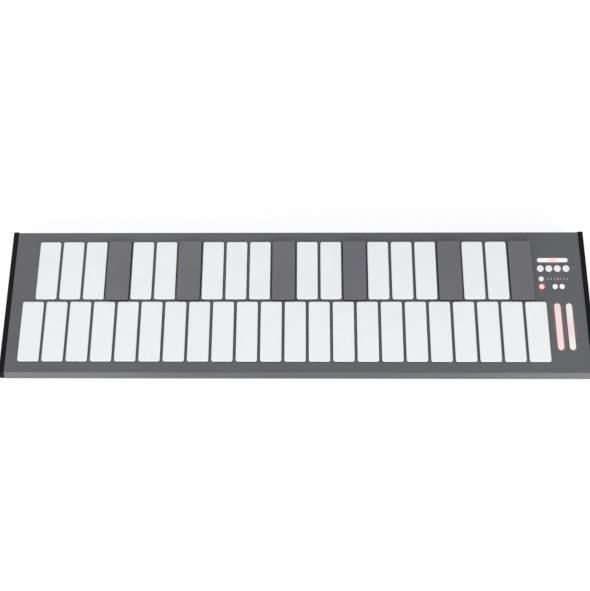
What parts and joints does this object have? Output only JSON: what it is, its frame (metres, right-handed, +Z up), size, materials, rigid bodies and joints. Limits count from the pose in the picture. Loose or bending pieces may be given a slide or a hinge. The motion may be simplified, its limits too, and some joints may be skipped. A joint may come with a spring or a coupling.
{
  "type": "mallet controller",
  "caption": "Slim table-top mallet keyboard: grey folded-steel housing, two rows of white silicone bars, grey range covers, lit control area and black end caps.",
  "frame": {"origin": "on the table under the middle of the housing, end caps included", "axes": "+X along the rows of bars towards the controls at the right end, +Y towards the rear wall, +Z up"},
  "size_m": [1.0568, 0.2689, 0.0568],
  "materials": {
    "deck_paint": "fine satin powder coat",
    "pan_paint": "satin powder coat",
    "end_cap": "fine spark-eroded grain",
    "white_silicone": "smooth matt silicone",
    "grey_silicone": "smooth matt silicone",
    "button_silicone": "translucent silicone",
    "diffuser": "frosted diffuser, lit in part",
    "board": "solder-masked laminate"
  },
  "bodies": {
    "housing": {"top_panel": "deck_paint", "bottom_pan": "pan_paint", "left_end_cap": "end_cap", "right_end_cap": "end_cap", "main_board": "board", "touch_strip": "diffuser", "left_touch_fader": "diffuser", "right_touch_fader": "diffuser", "lamp_guide": "diffuser"},
    "bar_f3": {"bar_f3": "white_silicone"},
    "bar_g3": {"bar_g3": "white_silicone"},
    "bar_a3": {"bar_a3": "white_silicone"},
    "bar_b3": {"bar_b3": "white_silicone"},
    "bar_c4": {"bar_c4": "white_silicone"},
    "bar_d4": {"bar_d4": "white_silicone"},
    "bar_e4": {"bar_e4": "white_silicone"},
    "bar_f4": {"bar_f4": "white_silicone"},
    "bar_g4": {"bar_g4": "white_silicone"},
    "bar_a4": {"bar_a4": "white_silicone"},
    "bar_b4": {"bar_b4": "white_silicone"},
    "bar_c5": {"bar_c5": "white_silicone"},
    "bar_d5": {"bar_d5": "white_silicone"},
    "bar_e5": {"bar_e5": "white_silicone"},
    "bar_f5": {"bar_f5": "white_silicone"},
    "bar_g5": {"bar_g5": "white_silicone"},
    "bar_a5": {"bar_a5": "white_silicone"},
    "bar_b5": {"bar_b5": "white_silicone"},
    "bar_c6": {"bar_c6": "white_silicone"},
    "bar_d6": {"bar_d6": "white_silicone"},
    "bar_e6": {"bar_e6": "white_silicone"},
    "bar_f6": {"bar_f6": "white_silicone"},
    "bar_f_sharp3": {"bar_f_sharp3": "white_silicone"},
    "bar_g_sharp3": {"bar_g_sharp3": "white_silicone"},
    "bar_a_sharp3": {"bar_a_sharp3": "white_silicone"},
    "bar_c_sharp4": {"bar_c_sharp4": "white_silicone"},
    "bar_d_sharp4": {"bar_d_sharp4": "white_silicone"},
    "bar_f_sharp4": {"bar_f_sharp4": "white_silicone"},
    "bar_g_sharp4": {"bar_g_sharp4": "white_silicone"},
    "bar_a_sharp4": {"bar_a_sharp4": "white_silicone"},
    "bar_c_sharp5": {"bar_c_sharp5": "white_silicone"},
    "bar_d_sharp5": {"bar_d_sharp5": "white_silicone"},
    "bar_f_sharp5": {"bar_f_sharp5": "white_silicone"},
    "bar_g_sharp5": {"bar_g_sharp5": "white_silicone"},
    "bar_a_sharp5": {"bar_a_sharp5": "white_silicone"},
    "bar_c_sharp6": {"bar_c_sharp6": "white_silicone"},
    "bar_d_sharp6": {"bar_d_sharp6": "white_silicone"},
    "round_button_1": {"round_button_1": "button_silicone"},
    "round_button_2": {"round_button_2": "button_silicone"},
    "round_button_3": {"round_button_3": "button_silicone"},
    "round_button_4": {"round_button_4": "button_silicone"},
    "mode_button_rear": {"mode_button_rear": "button_silicone"},
    "mode_button_front": {"mode_button_front": "button_silicone"},
    "octave_down_button": {"octave_down_button": "button_silicone"},
    "octave_up_button": {"octave_up_button": "button_silicone"},
    "range_cover_1": {"range_cover_1": "grey_silicone"},
    "range_cover_2": {"range_cover_2": "grey_silicone"},
    "range_cover_3": {"range_cover_3": "grey_silicone"},
    "range_cover_4": {"range_cover_4": "grey_silicone"},
    "range_cover_5": {"range_cover_5": "grey_silicone"},
    "range_cover_6": {"range_cover_6": "grey_silicone"}
  },
  "joints": [
    {"name": "press_bar_f3", "type": "slide", "parent": "housing", "child": "bar_f3", "axis": [0, 0, 1], "range_m": [-0.001, 0], "stiffness_N_per_m": 5000, "springref_m": 0.0005},
    {"name": "press_bar_g3", "type": "slide", "parent": "housing", "child": "bar_g3", "axis": [0, 0, 1], "range_m": [-0.001, 0], "stiffness_N_per_m": 5000, "springref_m": 0.0005},
    {"name": "press_bar_a3", "type": "slide", "parent": "housing", "child": "bar_a3", "axis": [0, 0, 1], "range_m": [-0.001, 0], "stiffness_N_per_m": 5000, "springref_m": 0.0005},
    {"name": "press_bar_b3", "type": "slide", "parent": "housing", "child": "bar_b3", "axis": [0, 0, 1], "range_m": [-0.001, 0], "stiffness_N_per_m": 5000, "springref_m": 0.0005},
    {"name": "press_bar_c4", "type": "slide", "parent": "housing", "child": "bar_c4", "axis": [0, 0, 1], "range_m": [-0.001, 0], "stiffness_N_per_m": 5000, "springref_m": 0.0005},
    {"name": "press_bar_d4", "type": "slide", "parent": "housing", "child": "bar_d4", "axis": [0, 0, 1], "range_m": [-0.001, 0], "stiffness_N_per_m": 5000, "springref_m": 0.0005},
    {"name": "press_bar_e4", "type": "slide", "parent": "housing", "child": "bar_e4", "axis": [0, 0, 1], "range_m": [-0.001, 0], "stiffness_N_per_m": 5000, "springref_m": 0.0005},
    {"name": "press_bar_f4", "type": "slide", "parent": "housing", "child": "bar_f4", "axis": [0, 0, 1], "range_m": [-0.001, 0], "stiffness_N_per_m": 5000, "springref_m": 0.0005},
    {"name": "press_bar_g4", "type": "slide", "parent": "housing", "child": "bar_g4", "axis": [0, 0, 1], "range_m": [-0.001, 0], "stiffness_N_per_m": 5000, "springref_m": 0.0005},
    {"name": "press_bar_a4", "type": "slide", "parent": "housing", "child": "bar_a4", "axis": [0, 0, 1], "range_m": [-0.001, 0], "stiffness_N_per_m": 5000, "springref_m": 0.0005},
    {"name": "press_bar_b4", "type": "slide", "parent": "housing", "child": "bar_b4", "axis": [0, 0, 1], "range_m": [-0.001, 0], "stiffness_N_per_m": 5000, "springref_m": 0.0005},
    {"name": "press_bar_c5", "type": "slide", "parent": "housing", "child": "bar_c5", "axis": [0, 0, 1], "range_m": [-0.001, 0], "stiffness_N_per_m": 5000, "springref_m": 0.0005},
    {"name": "press_bar_d5", "type": "slide", "parent": "housing", "child": "bar_d5", "axis": [0, 0, 1], "range_m": [-0.001, 0], "stiffness_N_per_m": 5000, "springref_m": 0.0005},
    {"name": "press_bar_e5", "type": "slide", "parent": "housing", "child": "bar_e5", "axis": [0, 0, 1], "range_m": [-0.001, 0], "stiffness_N_per_m": 5000, "springref_m": 0.0005},
    {"name": "press_bar_f5", "type": "slide", "parent": "housing", "child": "bar_f5", "axis": [0, 0, 1], "range_m": [-0.001, 0], "stiffness_N_per_m": 5000, "springref_m": 0.0005},
    {"name": "press_bar_g5", "type": "slide", "parent": "housing", "child": "bar_g5", "axis": [0, 0, 1], "range_m": [-0.001, 0], "stiffness_N_per_m": 5000, "springref_m": 0.0005},
    {"name": "press_bar_a5", "type": "slide", "parent": "housing", "child": "bar_a5", "axis": [0, 0, 1], "range_m": [-0.001, 0], "stiffness_N_per_m": 5000, "springref_m": 0.0005},
    {"name": "press_bar_b5", "type": "slide", "parent": "housing", "child": "bar_b5", "axis": [0, 0, 1], "range_m": [-0.001, 0], "stiffness_N_per_m": 5000, "springref_m": 0.0005},
    {"name": "press_bar_c6", "type": "slide", "parent": "housing", "child": "bar_c6", "axis": [0, 0, 1], "range_m": [-0.001, 0], "stiffness_N_per_m": 5000, "springref_m": 0.0005},
    {"name": "press_bar_d6", "type": "slide", "parent": "housing", "child": "bar_d6", "axis": [0, 0, 1], "range_m": [-0.001, 0], "stiffness_N_per_m": 5000, "springref_m": 0.0005},
    {"name": "press_bar_e6", "type": "slide", "parent": "housing", "child": "bar_e6", "axis": [0, 0, 1], "range_m": [-0.001, 0], "stiffness_N_per_m": 5000, "springref_m": 0.0005},
    {"name": "press_bar_f6", "type": "slide", "parent": "housing", "child": "bar_f6", "axis": [0, 0, 1], "range_m": [-0.001, 0], "stiffness_N_per_m": 5000, "springref_m": 0.0005},
    {"name": "press_bar_f_sharp3", "type": "slide", "parent": "housing", "child": "bar_f_sharp3", "axis": [0, 0, 1], "range_m": [-0.001, 0], "stiffness_N_per_m": 5000, "springref_m": 0.0005},
    {"name": "press_bar_g_sharp3", "type": "slide", "parent": "housing", "child": "bar_g_sharp3", "axis": [0, 0, 1], "range_m": [-0.001, 0], "stiffness_N_per_m": 5000, "springref_m": 0.0005},
    {"name": "press_bar_a_sharp3", "type": "slide", "parent": "housing", "child": "bar_a_sharp3", "axis": [0, 0, 1], "range_m": [-0.001, 0], "stiffness_N_per_m": 5000, "springref_m": 0.0005},
    {"name": "press_bar_c_sharp4", "type": "slide", "parent": "housing", "child": "bar_c_sharp4", "axis": [0, 0, 1], "range_m": [-0.001, 0], "stiffness_N_per_m": 5000, "springref_m": 0.0005},
    {"name": "press_bar_d_sharp4", "type": "slide", "parent": "housing", "child": "bar_d_sharp4", "axis": [0, 0, 1], "range_m": [-0.001, 0], "stiffness_N_per_m": 5000, "springref_m": 0.0005},
    {"name": "press_bar_f_sharp4", "type": "slide", "parent": "housing", "child": "bar_f_sharp4", "axis": [0, 0, 1], "range_m": [-0.001, 0], "stiffness_N_per_m": 5000, "springref_m": 0.0005},
    {"name": "press_bar_g_sharp4", "type": "slide", "parent": "housing", "child": "bar_g_sharp4", "axis": [0, 0, 1], "range_m": [-0.001, 0], "stiffness_N_per_m": 5000, "springref_m": 0.0005},
    {"name": "press_bar_a_sharp4", "type": "slide", "parent": "housing", "child": "bar_a_sharp4", "axis": [0, 0, 1], "range_m": [-0.001, 0], "stiffness_N_per_m": 5000, "springref_m": 0.0005},
    {"name": "press_bar_c_sharp5", "type": "slide", "parent": "housing", "child": "bar_c_sharp5", "axis": [0, 0, 1], "range_m": [-0.001, 0], "stiffness_N_per_m": 5000, "springref_m": 0.0005},
    {"name": "press_bar_d_sharp5", "type": "slide", "parent": "housing", "child": "bar_d_sharp5", "axis": [0, 0, 1], "range_m": [-0.001, 0], "stiffness_N_per_m": 5000, "springref_m": 0.0005},
    {"name": "press_bar_f_sharp5", "type": "slide", "parent": "housing", "child": "bar_f_sharp5", "axis": [0, 0, 1], "range_m": [-0.001, 0], "stiffness_N_per_m": 5000, "springref_m": 0.0005},
    {"name": "press_bar_g_sharp5", "type": "slide", "parent": "housing", "child": "bar_g_sharp5", "axis": [0, 0, 1], "range_m": [-0.001, 0], "stiffness_N_per_m": 5000, "springref_m": 0.0005},
    {"name": "press_bar_a_sharp5", "type": "slide", "parent": "housing", "child": "bar_a_sharp5", "axis": [0, 0, 1], "range_m": [-0.001, 0], "stiffness_N_per_m": 5000, "springref_m": 0.0005},
    {"name": "press_bar_c_sharp6", "type": "slide", "parent": "housing", "child": "bar_c_sharp6", "axis": [0, 0, 1], "range_m": [-0.001, 0], "stiffness_N_per_m": 5000, "springref_m": 0.0005},
    {"name": "press_bar_d_sharp6", "type": "slide", "parent": "housing", "child": "bar_d_sharp6", "axis": [0, 0, 1], "range_m": [-0.001, 0], "stiffness_N_per_m": 5000, "springref_m": 0.0005},
    {"name": "press_round_button_1", "type": "slide", "parent": "housing", "child": "round_button_1", "axis": [0, 0, 1], "range_m": [-0.001, 0], "stiffness_N_per_m": 400, "springref_m": 0.0006},
    {"name": "press_round_button_2", "type": "slide", "parent": "housing", "child": "round_button_2", "axis": [0, 0, 1], "range_m": [-0.001, 0], "stiffness_N_per_m": 400, "springref_m": 0.0006},
    {"name": "press_round_button_3", "type": "slide", "parent": "housing", "child": "round_button_3", "axis": [0, 0, 1], "range_m": [-0.001, 0], "stiffness_N_per_m": 400, "springref_m": 0.0006},
    {"name": "press_round_button_4", "type": "slide", "parent": "housing", "child": "round_button_4", "axis": [0, 0, 1], "range_m": [-0.001, 0], "stiffness_N_per_m": 400, "springref_m": 0.0006},
    {"name": "press_mode_button_rear", "type": "slide", "parent": "housing", "child": "mode_button_rear", "axis": [0, 0, 1], "range_m": [-0.001, 0], "stiffness_N_per_m": 400, "springref_m": 0.0006},
    {"name": "press_mode_button_front", "type": "slide", "parent": "housing", "child": "mode_button_front", "axis": [0, 0, 1], "range_m": [-0.001, 0], "stiffness_N_per_m": 400, "springref_m": 0.0006},
    {"name": "press_octave_down_button", "type": "slide", "parent": "housing", "child": "octave_down_button", "axis": [0, 0, 1], "range_m": [-0.001, 0], "stiffness_N_per_m": 400, "springref_m": 0.0006},
    {"name": "press_octave_up_button", "type": "slide", "parent": "housing", "child": "octave_up_button", "axis": [0, 0, 1], "range_m": [-0.001, 0], "stiffness_N_per_m": 400, "springref_m": 0.0006},
    {"name": "lift_range_cover_1", "type": "slide", "parent": "housing", "child": "range_cover_1", "axis": [0, 0, 1], "range_m": [0, 0.03]},
    {"name": "lift_range_cover_2", "type": "slide", "parent": "housing", "child": "range_cover_2", "axis": [0, 0, 1], "range_m": [0, 0.03]},
    {"name": "lift_range_cover_3", "type": "slide", "parent": "housing", "child": "range_cover_3", "axis": [0, 0, 1], "range_m": [0, 0.03]},
    {"name": "lift_range_cover_4", "type": "slide", "parent": "housing", "child": "range_cover_4", "axis": [0, 0, 1], "range_m": [0, 0.03]},
    {"name": "lift_range_cover_5", "type": "slide", "parent": "housing", "child": "range_cover_5", "axis": [0, 0, 1], "range_m": [0, 0.03]},
    {"name": "lift_range_cover_6", "type": "slide", "parent": "housing", "child": "range_cover_6", "axis": [0, 0, 1], "range_m": [0, 0.03]}
  ]
}
